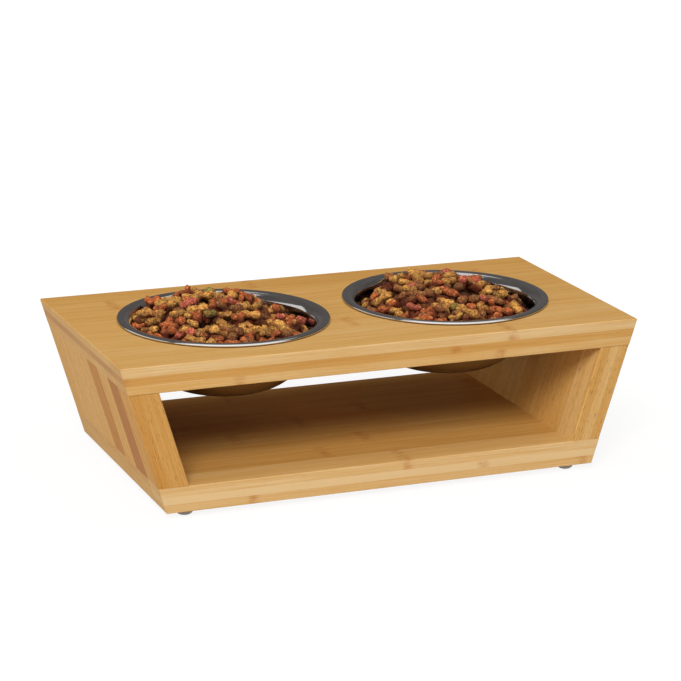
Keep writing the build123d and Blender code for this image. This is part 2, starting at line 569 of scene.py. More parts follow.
    # Vessels cut open along the grain: short dark dashes
    vessels = node("ShaderNodeTexNoise", {"Vector": in_grain(6, 0.8), "Scale": 1.0, "Detail": 1.0})
    dashes = node(
        "ShaderNodeMapRange", {"Value": vessels, 1: 0.58, 2: 0.72, 3: 0.0, 4: board.open_vessels}
    )
    long_grain = node("ShaderNodeMath", {0: 1.0, 1: end_grain}, operation="SUBTRACT")
    dashes = node("ShaderNodeMath", {0: dashes, 1: long_grain}, operation="MULTIPLY")
    dark = node("ShaderNodeMath", {0: dots, 1: glue}, operation="ADD")
    dark = node("ShaderNodeMath", {0: dark, 1: dashes}, operation="ADD", use_clamp=True)
    colour = node(
        "ShaderNodeMix", {"Factor": dark, "A": wood, "B": hex_colour("7A4F2A")}, data_type="RGBA"
    )
    ends = node("ShaderNodeMath", {0: end_grain, 1: 0.35}, operation="MULTIPLY")
    colour = node(
        "ShaderNodeMix", {"Factor": ends, "A": colour, "B": hex_colour("C6A672")}, data_type="RGBA"
    )

    rough = node("ShaderNodeMapRange", {"Value": fine, 1: 0.25, 2: 0.75, 3: 0.48, 4: 0.62})
    bump = node("ShaderNodeBump", {"Height": fine, "Strength": 0.35, "Distance": 0.06 * MM})
    shader = node(
        "ShaderNodeBsdfPrincipled",
        {
            "Base Color": colour,
            "Roughness": rough,
            "Normal": bump,
            "IOR": 1.47,
            "Specular IOR Level": 0.05,
        },
    )
    node("ShaderNodeOutputMaterial", {"Surface": shader})
    return material


class FEEDER_OT_boards(bpy.types.Operator):
    """Gives the two boards and the two end panels their laminated bamboo"""

    bl_idname = "feeder.boards"
    bl_label = "Boards and end panels"

    def execute(self, context):
        # Each row of tones or knots is one ply, from the face back, its strips from the front
        boards = {
            "top_board": Board(
                board_lay("top_board"),
                (0.34, 0.32, 0.36, 0.36, 0.40, 0.42, 0.40, 0.46)
                + (0.66, 0.92, 0.86, 0.74, 0.84, 0.92, 0.90, 0.86)
                + (0.50, 0.44, 0.36, 0.42, 0.38, 0.40, 0.44, 0.48),
                (0.0, 0.35, 0.66, 0.18, 0.52, 0.84, 0.16, 0.55)
                + (0.02, 0.4, 0.7, 0.2, 0.5, 0.8, 0.1, 0.6)
                + (0.45, 0.1, 0.6, 0.3, 0.8, 0.5, 0.2, 0.9),
                knot_step=50.0,
                edge_tone=-0.2,
                open_vessels=0.07,
                seed=3,
            ),
            "bottom_board": Board(
                board_lay("bottom_board"),
                (0.32, 0.52, 0.54, 0.50, 0.52, 0.48, 0.50, 0.48)
                + (0.13, 0.34, 0.44, 0.46, 0.40, 0.44, 0.40, 0.44)
                + (0.37, 0.34, 0.36, 0.42, 0.38, 0.40, 0.44, 0.48),
                (0.64, 0.47, 0.61, 0.30, 0.5, 0.7, 0.05, 0.4)
                + (0.9, 0.3, 0.1, 0.6, 0.2, 0.8, 0.4, 0.7)
                + (0.28, 0.6, 0.9, 0.3, 0.5, 0.1, 0.7, 0.2),
                knot_step=20.0,
                edge_tone=-0.15,
                open_vessels=0.07,
                seed=11,
            ),
            "left_side_panel": Board(
                panel_lay("left_side_panel", -1),
                (0.50, 0.92, 0.40, 0.76, 0.38, 0.36, 0.38, 0.40)
                + (0.36, 0.60, 0.50, 0.60, 0.50, 0.50, 0.50, 0.50)
                + (0.40, 0.42, 0.44, 0.50, 0.46, 0.44, 0.48, 0.46),
                (0.5, 0.6, 0.7, 0.5, 0.9, 0.4, 0.8, 0.6) * PLIES,
                knot_step=20.0,
                edge_tone=0.1,
                open_vessels=0.45,
                seed=23,
            ),
            "right_side_panel": Board(
                panel_lay("right_side_panel", 1),
                (0.28, 0.40, 0.36, 0.60, 0.40, 0.46, 0.38, 0.42)
                + (0.16, 0.46, 0.50, 0.54, 0.50, 0.50, 0.50, 0.50)
                + (0.30, 0.48, 0.52, 0.56, 0.46, 0.50, 0.52, 0.50),
                (0.5, 0.7, 0.4, 0.6, 0.9, 0.5, 0.7, 0.4) * PLIES,
                knot_step=20.0,
                edge_tone=0.1,
                open_vessels=0.45,
                seed=37,
            ),
        }
        for name, board in boards.items():
            dress(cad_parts[name], bamboo_material("bamboo_" + name, board))
        return {"FINISHED"}


# ---------------------------------------------------------------- bowls

# Facets round a bowl
BOWL_STEPS = 192


def arc(centre, radius, start, end, steps):
    """Points of an arc as (radius, height, outward normal), angles in radians from level."""
    made = []
    for k in range(steps + 1):
        a = start + (end - start) * k / steps
        n = (math.cos(a), math.sin(a))
        made.append((centre[0] + radius * n[0], centre[1] + radius * n[1], *n))
    return made


def inside_section(sizes, rim_radius, top, bottom):
    """The food side of the sheet, from the middle of the base up to the rim.

    Its points, like those of an arc, are (radius, height, normal radius, normal height)."""
    draft = sizes.wall_draft
    neck_radius = rim_radius - sizes.rim_height / 2 - sizes.rim_flat
    base_radius = sizes.base_flat / 2
    floor_z = bottom + sizes.sheet
    neck_centre = (neck_radius, top - sizes.neck_round)
    foot = (
        neck_centre[0] - sizes.neck_round * math.cos(draft),
        neck_centre[1] + sizes.neck_round * math.sin(draft),
    )
    reach = (foot[0] - base_radius) * math.cos(draft) - (foot[1] - floor_z) * math.sin(draft)
    side = reach / (1 - math.sin(draft))
    side_arc = arc((base_radius, floor_z + side), side, -math.pi / 2, -draft, 40)
    neck_arc = arc(neck_centre, sizes.neck_round, math.pi - draft, math.pi / 2, 24)
    floor = [(0.0, floor_z, 0.0, 1.0), (base_radius * 0.6, floor_z, 0.0, 1.0)]
    return floor + [(r, z, -nr, -nz) for r, z, nr, nz in side_arc] + neck_arc


def bowl_profile(sizes, rim_radius, top, bottom):
    """The whole section: up the inside, out over the rim, round its fold and down the outside."""
    fold = sizes.rim_height / 2
    neck_radius = rim_radius - fold - sizes.rim_flat
    inside = inside_section(sizes, rim_radius, top, bottom)
    inside.append((neck_radius + sizes.rim_flat / 2, top, 0.0, 1.0))
    inside += arc((rim_radius - fold, top - fold), fold, math.pi / 2, -math.pi / 2, 12)
    inside.append((rim_radius - fold - sizes.hem, top - 2 * fold, 0.0, -1.0))
    outside = [
        (r - nr * sizes.sheet, z - nz * sizes.sheet, -nr, -nz) for r, z, nr, nz in reversed(inside)
    ]
    outside[-1] = (0.0, bottom, 0.0, -1.0)
    return inside + outside


def steel_material():
    """Stainless steel sheet, pressed and mirror-polished, with faint turning marks from the wheel.

    It gives the eye a dark mirror with crisp windows of light, drawn out round the bowl."""
    sizes = bpy.context.scene.feeder_bowls
    material, node = new_material("steel_mirror_polished")
    coords = node("ShaderNodeTexCoord")
    split = node("ShaderNodeSeparateXYZ", {0: coords.outputs["Object"]})
    # Polishing marks run round the bowl, about 0.6 mm apart: radius and height are the fine ways
    fine = 1 / (0.6 * MM)
    flat = node("ShaderNodeCombineXYZ", {0: split.outputs[0], 1: split.outputs[1]})
    radius = node("ShaderNodeVectorMath", {0: flat}, operation="LENGTH")
    turn = node("ShaderNodeMath", {0: split.outputs[1], 1: split.outputs[0]}, operation="ARCTAN2")
    marks_place = node(
        "ShaderNodeCombineXYZ",
        {
            0: node("ShaderNodeMath", {0: radius, 1: fine}, operation="MULTIPLY"),
            1: node("ShaderNodeMath", {0: turn, 1: 2.0}, operation="MULTIPLY"),
            2: node("ShaderNodeMath", {0: split.outputs[2], 1: fine}, operation="MULTIPLY"),
        },
    )
    marks = node("ShaderNodeTexNoise", {"Vector": marks_place, "Scale": 1.0, "Detail": 2.0})
    # Sheet that was pressed is never quite true: soft waves about 12 mm long bend the reflections
    waves = node(
        "ShaderNodeTexNoise",
        {"Vector": coords.outputs["Object"], "Scale": 1 / (12 * MM), "Detail": 1.0},
    )
    rough = node("ShaderNodeMapRange", {"Value": marks, 1: 0.3, 2: 0.7, 3: 0.07, 4: 0.15})
    bump = node("ShaderNodeBump", {"Height": waves, "Strength": 0.5, "Distance": 0.10 * MM})
    bump = node(
        "ShaderNodeBump", {"Height": marks, "Strength": 0.15, "Distance": 0.01 * MM, "Normal": bump}
    )
    tint = node(
        "ShaderNodeMix",
        {"Factor": marks, "A": sizes.steel, "B": hex_colour("BEBCBB")},
        data_type="RGBA",
    )
    # The outside, which the board hides, was left as it came from the press: duller. Its darker
    # brown tint is a painted reflection of the bamboo below and round it
    facing = node("ShaderNodeSeparateXYZ", {0: coords.outputs["Normal"]})
    outside = node("ShaderNodeMapRange", {"Value": facing.outputs[2], 1: -0.1, 2: -0.3})
    tint = node(
        "ShaderNodeMix", {"Factor": outside, "A": tint, "B": hex_colour("8B7C70")}, data_type="RGBA"
    )
    rough = node("ShaderNodeMath", {0: outside, 1: 0.2, 2: rough}, operation="MULTIPLY_ADD")
    shader = node(
        "ShaderNodeBsdfPrincipled",
        {"Base Color": tint, "Metallic": 1.0, "Roughness": rough, "Normal": bump},
    )
    node("ShaderNodeOutputMaterial", {"Surface": shader})
    return material


class FEEDER_OT_bowls(bpy.types.Operator):
    """Turns the two pressed steel bowls as smooth polished sheet"""

    bl_idname = "feeder.bowls"
    bl_label = "Steel bowls"

    def execute(self, context):
        steel = steel_material()
        for side in ("left", "right"):
            node = side + "_bowl"
            low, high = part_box(node)
            axis = Vector(((low.x + high.x) / 2, (low.y + high.y) / 2, low.z))
            sizes = context.scene.feeder_bowls
            profile = bowl_profile(sizes, (high.x - low.x) / 2, high.z - low.z, 0.0)
            bowl = lathe(side + "_polished_bowl", profile, axis, BOWL_STEPS)
            dress(bowl, steel)
            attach(bowl, node)
            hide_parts(node)
        return {"FINISHED"}


# ---------------------------------------------------------------- feet

# Facets round a foot, and the rounding of its edge under the board
FOOT_STEPS = 64
FOOT_EDGE = 0.2 * MM


def rubber_material():
    """Clear polyurethane, moulded as a self-stick bumper.

    It gives the eye a small smoky dome that glows where light passes and has one soft highlight."""
    sizes = bpy.context.scene.feeder_feet
    material, node = new_material("polyurethane_moulded_clear")
    coords = node("ShaderNodeTexCoord")
    cloud = node(
        "ShaderNodeTexNoise",
        {"Vector": coords.outputs["Object"], "Scale": 1 / (3 * MM), "Detail": 3.0},
    )
    colour = node(
        "ShaderNodeMix",
        {"Factor": cloud, "A": sizes.rubber, "B": hex_colour("A79F93")},
        data_type="RGBA",
    )
    rough = node("ShaderNodeMapRange", {"Value": cloud, 1: 0.3, 2: 0.7, 3: 0.18, 4: 0.32})
    bump = node("ShaderNodeBump", {"Height": cloud, "Strength": 0.2, "Distance": 0.05 * MM})
    shader = node(
        "ShaderNodeBsdfPrincipled",
        {
            "Base Color": colour,
            "Roughness": rough,
            "IOR": 1.5,
            "Transmission Weight": 0.45,
            "Normal": bump,
        },
    )
    node("ShaderNodeOutputMaterial", {"Surface": shader})
    return material


class FEEDER_OT_feet(bpy.types.Operator):
    """Turns the four moulded bumpers"""

    bl_idname = "feeder.feet"
    bl_label = "Feet"

    def execute(self, context):
        sizes = context.scene.feeder_feet
        rubber = rubber_material()
        for place in ("front_left", "front_right", "rear_left", "rear_right"):
            node = place + "_foot"
            low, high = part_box(node)
            radius, height = (high.x - low.x) / 2, high.z - low.z
            dome_height = height - sizes.band
            run = radius - sizes.tip / 2
            dome_radius = (run * run + dome_height * dome_height) / (2 * run)
            sweep = math.asin(dome_height / dome_radius)
            profile = [
                (0.0, height, 0.0, 1.0),
                (radius - FOOT_EDGE, height, 0.0, 1.0),
                (radius, height - FOOT_EDGE, 1.0, 0.0),
            ]
            profile += arc((radius - dome_radius, dome_height), dome_radius, 0.0, -sweep, 14)
            profile += [(sizes.tip / 2 - 0.3 * MM, 0.0, 0.0, -1.0), (0.0, 0.0, 0.0, -1.0)]
            axis = Vector(((low.x + high.x) / 2, (low.y + high.y) / 2, low.z))
            foot = lathe(place + "_bumper", profile, axis, FOOT_STEPS)
            dress(foot, rubber)
            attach(foot, "stand")
            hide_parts(node)
        return {"FINISHED"}


# ---------------------------------------------------------------- dowels and screws


def beech_material():
    """Beech, turned to a dowel and left raw: pale pinkish wood with short fine flecks."""
    material, node = new_material("beech_turned_dowel")
    coords = node("ShaderNodeTexCoord")
    # Flecks about 0.5 mm wide and 6 mm long, upright like the dowel
    scale = (1 / (0.5 * MM), 1 / (0.5 * MM), 1 / (6 * MM))
    place = node("ShaderNodeMapping", {"Vector": coords.outputs["Object"], "Scale": scale})
    fleck = node("ShaderNodeTexNoise", {"Vector": place, "Scale": 1.0, "Detail": 3.0})
    colour = set_ramp(
        node("ShaderNodeValToRGB", {0: fleck}),
        [(0.3, hex_colour("D9B48A")), (0.7, hex_colour("B98A5E"))],
    )
    bump = node("ShaderNodeBump", {"Height": fleck, "Strength": 0.4, "Distance": 0.08 * MM})
    shader = node(
        "ShaderNodeBsdfPrincipled", {"Base Color": colour, "Roughness": 0.7, "Normal": bump}
    )
    node("ShaderNodeOutputMaterial", {"Surface": shader})
    return material


def zinc_material():
    """Steel, rolled to a screw and bright zinc plated: a soft bluish metal, slightly grainy."""
    material, node = new_material("steel_zinc_plated")
    coords = node("ShaderNodeTexCoord")
    grain = node(
        "ShaderNodeTexNoise",
        {"Vector": coords.outputs["Object"], "Scale": 1 / (0.4 * MM), "Detail": 2.0},
    )
    colour = set_ramp(
        node("ShaderNodeValToRGB", {0: grain}),
        [(0.3, hex_colour("A9ACB0")), (0.7, hex_colour("C6C8CA"))],
    )
    rough = node("ShaderNodeMapRange", {"Value": grain, 1: 0.3, 2: 0.7, 3: 0.28, 4: 0.42})
    shader = node(
        "ShaderNodeBsdfPrincipled", {"Base Color": colour, "Metallic": 1.0, "Roughness": rough}
    )
    node("ShaderNodeOutputMaterial", {"Surface": shader})
    return material


class FEEDER_OT_fasteners(bpy.types.Operator):
    """Gives the hidden dowels and the countersunk screws their finishes"""

    bl_idname = "feeder.fasteners"
    bl_label = "Dowels and screws"

    def execute(self, context):
        beech, zinc = beech_material(), zinc_material()
        for side in ("left", "right"):
            dress(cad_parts[side + "_dowels"], beech)
            dress(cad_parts[side + "_screws"], zinc)
        return {"FINISHED"}


# ---------------------------------------------------------------- food

# Each kind of piece: the middles of its lobes, in lobe distances from the piece's own middle, how
# many of 21 pieces are of that kind, and the span of recipes it is made in
Kind = namedtuple("Kind", "lobes share first_recipe last_recipe")
PIECE_KINDS = {
    "bone": Kind(
        ((-1.1, 0.42), (-1.1, -0.42), (-0.45, 0.0), (0.45, 0.0), (1.1, 0.42), (1.1, -0.42)),
        share=6,
        first_recipe=0.0,
        last_recipe=0.37,
    ),
    "cross": Kind(
        ((0.72, 0.72), (-0.72, 0.72), (-0.72, -0.72), (0.72, -0.72), (0.0, 0.0)),
        share=4,
        first_recipe=0.16,
        last_recipe=0.60,
    ),
    "stick": Kind(((-1.0, 0.1), (-0.35, -0.05), (0.35, 0.05), (1.0, -0.1)), 4, 0.0, 1.0),
    "triangle": Kind(((0.95, 0.0), (-0.5, 0.8), (-0.5, -0.8), (0.0, 0.0)), 2, 0.1, 0.8),
    "bean": Kind(((-0.65, 0.12), (0.0, -0.1), (0.65, 0.15)), 3, 0.15, 1.0),
    "nugget": Kind(((-0.35, 0.15), (0.4, -0.2), (0.05, 0.3)), 2, 0.5, 1.0),
}
VARIANTS = 3
# A piece's skin is where the sum of its soft round lobes, each spread this far, falls to a level.
# Gaps upward count less, so that a lobe is a little taller than wide. No skin lies further out
# than the limit.
LOBE_SPREAD = 0.34
SKIN_LEVEL = 0.55
UPWARD_SHARE = 0.84
SKIN_LIMIT = 2.2
# The heap's own numbers: where its peak lies from the bowl's middle, and how far under the rim it
# meets the wall at the right, rear, left and front
Heap = namedtuple("Heap", "peak_x peak_y right rear left front")
HEAPS = {
    "left": Heap(-14 * MM, 42 * MM, 12 * MM, -1 * MM, 6 * MM, 8 * MM),
    "right": Heap(3 * MM, 40 * MM, 10 * MM, 1 * MM, 14 * MM, 8 * MM),
}
# How round a heap's crest is: 1 would be a straight cone
HEAP_ROUNDING = 1.8
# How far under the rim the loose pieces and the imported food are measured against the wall, and how
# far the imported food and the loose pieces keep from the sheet
HEAP_EDGE = 10 * MM
BED_EDGE = 26 * MM
BED_GAP = 0.4 * MM
PIECE_GAP = 0.3 * MM
# The pour is solved this many times larger, because the solver's margins are made for large things
SIM_SCALE = 20.0


def piece_mesh(name, lobes, size, detail, seed):
    """One extruded and baked piece: rounded lobes that run together, swollen and pitted."""
    bm = bmesh.new()
    bmesh.ops.create_icosphere(bm, subdivisions=detail, radius=1.0)
    ways = np.array([v.co.normalized()[:] for v in bm.verts])
    middles = np.array([(x, y, 0.0) for x, y in lobes])
    shift = Vector((seed * 7.3, seed * 3.1, seed * 1.7))

    def inside(reach):
        """True where a point that far out along each way still lies in the swollen lobes."""
        points = ways * reach[:, None]
        gaps = points[:, None, :] - middles[None, :, :]
        gaps[:, :, 2] *= UPWARD_SHARE
        return np.exp(-(gaps**2).sum(axis=2) / LOBE_SPREAD).sum(axis=1) > SKIN_LEVEL

    # Step out along each way to the last point inside, then halve the gap to the next one
    stride = 0.05
    inner = np.zeros(len(ways))
    for step in np.linspace(stride, SKIN_LIMIT, 44):
        inner[inside(np.full(len(ways), step))] = step
    outer = inner + stride
    for _ in range(7):
        middle = (inner + outer) / 2
        within = inside(middle)
        inner = np.where(within, middle, inner)
        outer = np.where(within, outer, middle)
    # Bump value of each point, high on the bumps and low in the cracks: the material paints
    # highlight on the bumps and shade in the cracks from it
    pits = []
    for vert, way, reach in zip(bm.verts, ways, inner):
        point = Vector(way * reach)
        crack = abs(noise.noise(point * 2.5 + shift))
        grain = noise.noise(point * 6.5 + shift)
        swell = 0.92 + noise.noise(point * 1.4 + shift) * 0.12 + crack * 0.27 + grain * 0.14
        vert.co = point * swell * size
        pits.append(max(0.0, min(1.0, crack * 2.4 + 0.5 * grain + 0.1)))
    mesh = bpy.data.meshes.new(name)
    bm.to_mesh(mesh)
    bm.free()
    mesh.attributes.new("bump", "FLOAT", "POINT").data.foreach_set("value", pits)
    mesh.shade_smooth()
    return mesh


def heap_height(heap, crest, reach, x, y):
    """Height of the heap over the rim at a place: a cone that leans to each side's own edge."""
    way = Vector((x - heap.peak_x, y - heap.peak_y))
    if way.length < 1e-6:
        return crest
    away = way.normalized()
    # Distance from the peak to the wall along this way
    peak = Vector((heap.peak_x, heap.peak_y))
    along = peak.dot(away)
    to_wall = -along + math.sqrt(max(0.0, along * along + reach * reach - peak.length_squared))
    share = min(1.0, way.length / to_wall)
    wall = peak + away * to_wall
    turn = math.atan2(wall.y, wall.x) / (math.pi / 2) % 4
    edges = (heap.right, heap.rear, heap.left, heap.front, heap.right)
    quarter, part = int(turn), turn - int(turn)
    part = part * part * (3 - 2 * part)
    edge = -(edges[quarter] * (1 - part) + edges[quarter + 1] * part)
    return crest + (edge - crest) * share**HEAP_ROUNDING


def mound_mesh(name, height, radii, wall, steps, closed):
    """A surface over a disc, height(x, y), with rings of wall (radius, height) round it."""
    points, faces, rings = [(0.0, 0.0, height(0.0, 0.0))], [], []
    turns = [2 * math.pi * k / steps for k in range(steps)]
    for radius in radii:
        rings.append(range(len(points), len(points) + steps))
        for a in turns:
            x, y = radius * math.cos(a), radius * math.sin(a)
            points.append((x, y, height(x, y)))
    for radius, z in wall:
        rings.append(range(len(points), len(points) + steps))
        points += [(radius * math.cos(a), radius * math.sin(a), z) for a in turns]
    for k in range(steps):
        faces.append((0, rings[0][k], rings[0][(k + 1) % steps]))
    for ring, after in zip(rings, rings[1:]):
        for k in range(steps):
            n = (k + 1) % steps
            faces.append((ring[k], after[k], after[n], ring[n]))
    if closed:
        faces.append(tuple(reversed(rings[-1])))
    mesh = bpy.data.meshes.new(name)
    mesh.from_pydata(points, [], faces)
    return mesh


def kibble_material():
    """Dry dog food, extruded, baked and coated with fat.

    Each piece has the colour of its recipe, with crumbs of meal on the skin. Its bumps are painted
    lighter and its creases and the gaps between the pieces painted darker, as painted highlight and
    painted shade. It gives the eye a mixed heap, matt, rough and a little oily."""
    sizes = bpy.context.scene.feeder_food
    material, node = new_material("kibble_baked_coated")

    def stained_or_shaded(colour, pattern, start, end, least, most, stain):
        """A colour with a stain or with painted shade, whose share runs from least to most over part
        of a pattern.
        """
        share = node("ShaderNodeMapRange", {"Value": pattern, 1: start, 2: end, 3: least, 4: most})
        stain = hex_colour(stain)
        return node("ShaderNodeMix", {"Factor": share, "A": colour, "B": stain}, data_type="RGBA")

    coords = node("ShaderNodeTexCoord")
    recipe, shade, high, deep = (
        node("ShaderNodeAttribute", attribute_name=name).outputs["Fac"]
        for name in ("recipe", "shade", "bump", "deep")
    )
    doughs = [(0.0, sizes.tan), (0.33, sizes.red), (0.56, sizes.pink)]
    doughs += [(0.65, sizes.brown), (0.95, sizes.green)]
    colour = set_ramp(node("ShaderNodeValToRGB", {0: recipe}), doughs, "CONSTANT")
    # Patches about 4 mm across where the doughs of two recipes ran together, crumbs about 1.5 mm
    baked = node(
        "ShaderNodeTexNoise",
        {"Vector": coords.outputs["Object"], "Scale": 1 / (4 * MM), "Detail": 3.0},
    )
    crumbs = node(
        "ShaderNodeTexNoise",
        {
            "Vector": coords.outputs["Object"],
            "Scale": 1 / (1.5 * MM),
            "Detail": 3.0,
            "Roughness": 0.65,
        },
    )
    colour = stained_or_shaded(colour, baked, 0.50, 0.64, 0.0, 0.5, "9A5230")
    # Pale crumbs on the raised grain of the bump: partly the meal's own colour, partly painted
    # highlight
    colour = stained_or_shaded(colour, crumbs, 0.54, 0.70, 0.0, 0.55, "CFA066")
    # Each piece is baked lighter or darker. Its crumbs, which the bump raises too, are lighter on
    # top and darker low down, partly their own colour and partly painted highlight and shade; its
    # bumps are painted lighter and its creases darker, as painted highlight and painted shade
    value = node("ShaderNodeMapRange", {"Value": shade, 3: 0.84, 4: 1.48})
    for pattern, start, end, least, most in (
        (crumbs, 0.34, 0.66, 0.60, 1.35),
        (high, 0.0, 1.0, 0.58, 1.28),
    ):
        part = node("ShaderNodeMapRange", {"Value": pattern, 1: start, 2: end, 3: least, 4: most})
        value = node("ShaderNodeMath", {0: value, 1: part}, operation="MULTIPLY")
    colour = node("ShaderNodeHueSaturation", {"Color": colour, "Saturation": 1.045, "Value": value})
    # Painted shade: the creases of each piece and the gaps deep between the pieces are darkened,
    # where shade falls
    colour = stained_or_shaded(colour, high, 0.0, 0.5, 0.7, 0.0, "682306")
    colour = stained_or_shaded(colour, deep, 0.2, 0.62, 0.0, 0.92, "471403")
    rough = node("ShaderNodeMapRange", {"Value": baked, 1: 0.3, 2: 0.7, 3: 0.5, 4: 0.75})
    bump = node("ShaderNodeBump", {"Height": crumbs, "Strength": 1.0, "Distance": 1.2 * MM})
    shader = node(
        "ShaderNodeBsdfPrincipled",
        {"Base Color": colour, "Roughness": rough, "IOR": 1.45, "Normal": bump},
    )
    node("ShaderNodeOutputMaterial", {"Surface": shader})
    return material


def packed_material():
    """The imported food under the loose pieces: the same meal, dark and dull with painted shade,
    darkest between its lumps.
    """
    material, node = new_material("kibble_packed_painted_shade")
    coords = node("ShaderNodeTexCoord")
    grain = node(
        "ShaderNodeTexVoronoi", {"Vector": coords.outputs["Object"], "Scale": 1 / (9 * MM)}
    )
    # Painted shade: lighter in the middle of each lump, darker between the lumps
    colour = set_ramp(
        node("ShaderNodeValToRGB", {0: grain.outputs["Distance"]}),
        [(0.1, hex_colour("84532E")), (0.6, hex_colour("40200F"))],
    )
    bump = node(
        "ShaderNodeBump", {"Height": grain.outputs["Distance"], "Distance": 2 * MM}, invert=True
    )
    shader = node(
        "ShaderNodeBsdfPrincipled", {"Base Color": colour, "Roughness": 0.8, "Normal": bump}
    )
    node("ShaderNodeOutputMaterial", {"Surface": shader})
    return material


def mesh_arrays(mesh):
    """The corners, triangles and bump values of a piece as arrays."""
    verts = np.empty(len(mesh.vertices) * 3)
    mesh.vertices.foreach_get("co", verts)
    faces = np.empty(len(mesh.polygons) * 3, dtype=np.int64)
    mesh.polygons.foreach_get("vertices", faces)
    bumps = np.empty(len(mesh.vertices))
    mesh.attributes["bump"].data.foreach_get("value", bumps)
    return verts.reshape(-1, 3), faces.reshape(-1, 3), bumps


def mesh_of_triangles(name, points, faces):
    """A smooth mesh from arrays of corners and triangles."""
    mesh = bpy.data.meshes.new(name)
    mesh.vertices.add(len(points))
    mesh.vertices.foreach_set("co", points.ravel())
    mesh.loops.add(faces.size)
    mesh.loops.foreach_set("vertex_index", faces.ravel())
    mesh.polygons.add(len(faces))
    mesh.polygons.foreach_set("loop_start", np.arange(0, faces.size, 3))
    mesh.update(calc_edges=True)
    mesh.shade_smooth()
    return mesh


def depth_in_heap(points):
    """How deep each point lies between its neighbours: 0 on the heap's surface, 1 at 8 mm down."""
    cell, deepest, reach = 1.2 * MM, 8 * MM, 3
    places = np.floor((points[:, :2] - points[:, :2].min(axis=0)) / cell).astype(int) + reach
    across, along = places.max(axis=0) + reach + 1
    tops = np.full((across, along), -np.inf)
    np.maximum.at(tops, (places[:, 0], places[:, 1]), points[:, 2])
    # The highest point within a few cells, then the mean of that over the same few cells
    window = range(-reach, reach + 1)
    raised = np.max([np.roll(tops, (i, j), (0, 1)) for i in window for j in window], axis=0)
    raised = np.where(np.isfinite(raised), raised, points[:, 2].min())
    even = np.mean([np.roll(raised, (i, j), (0, 1)) for i in window for j in window], axis=0)
    even = np.minimum(even, raised)
    return np.clip((even[places[:, 0], places[:, 1]] - points[:, 2]) / deepest, 0.0, 1.0)


def fall(scene, solver, guides, pieces, frames):
    """Lets loose pieces fall on fixed guides with Blender's rigid bodies, up to a frame."""
    bpy.ops.rigidbody.world_add()
    scene.rigidbody_world.collection = solver
    scene.rigidbody_world.substeps_per_frame = 8
    scene.rigidbody_world.solver_iterations = 16
    scene.rigidbody_world.point_cache.frame_end = frames + 1
    for group, kind, shape in ((guides, "PASSIVE", "MESH"), (pieces, "ACTIVE", "CONVEX_HULL")):
        for obj in list(bpy.context.selected_objects):
            obj.select_set(False)
        for obj in group:
            obj.select_set(True)
        bpy.context.view_layer.objects.active = group[0]
        bpy.ops.rigidbody.objects_add(type=kind)
        for obj in group:
            body = obj.rigid_body
            body.collision_shape = shape
            body.mass = 0.5
            body.friction = 0.9
            body.restitution = 0.0
            body.linear_damping = 0.25
            body.angular_damping = 0.5
            body.use_margin = True
            body.collision_margin = 0.004
    for number in range(1, frames + 1):
        scene.frame_set(number)


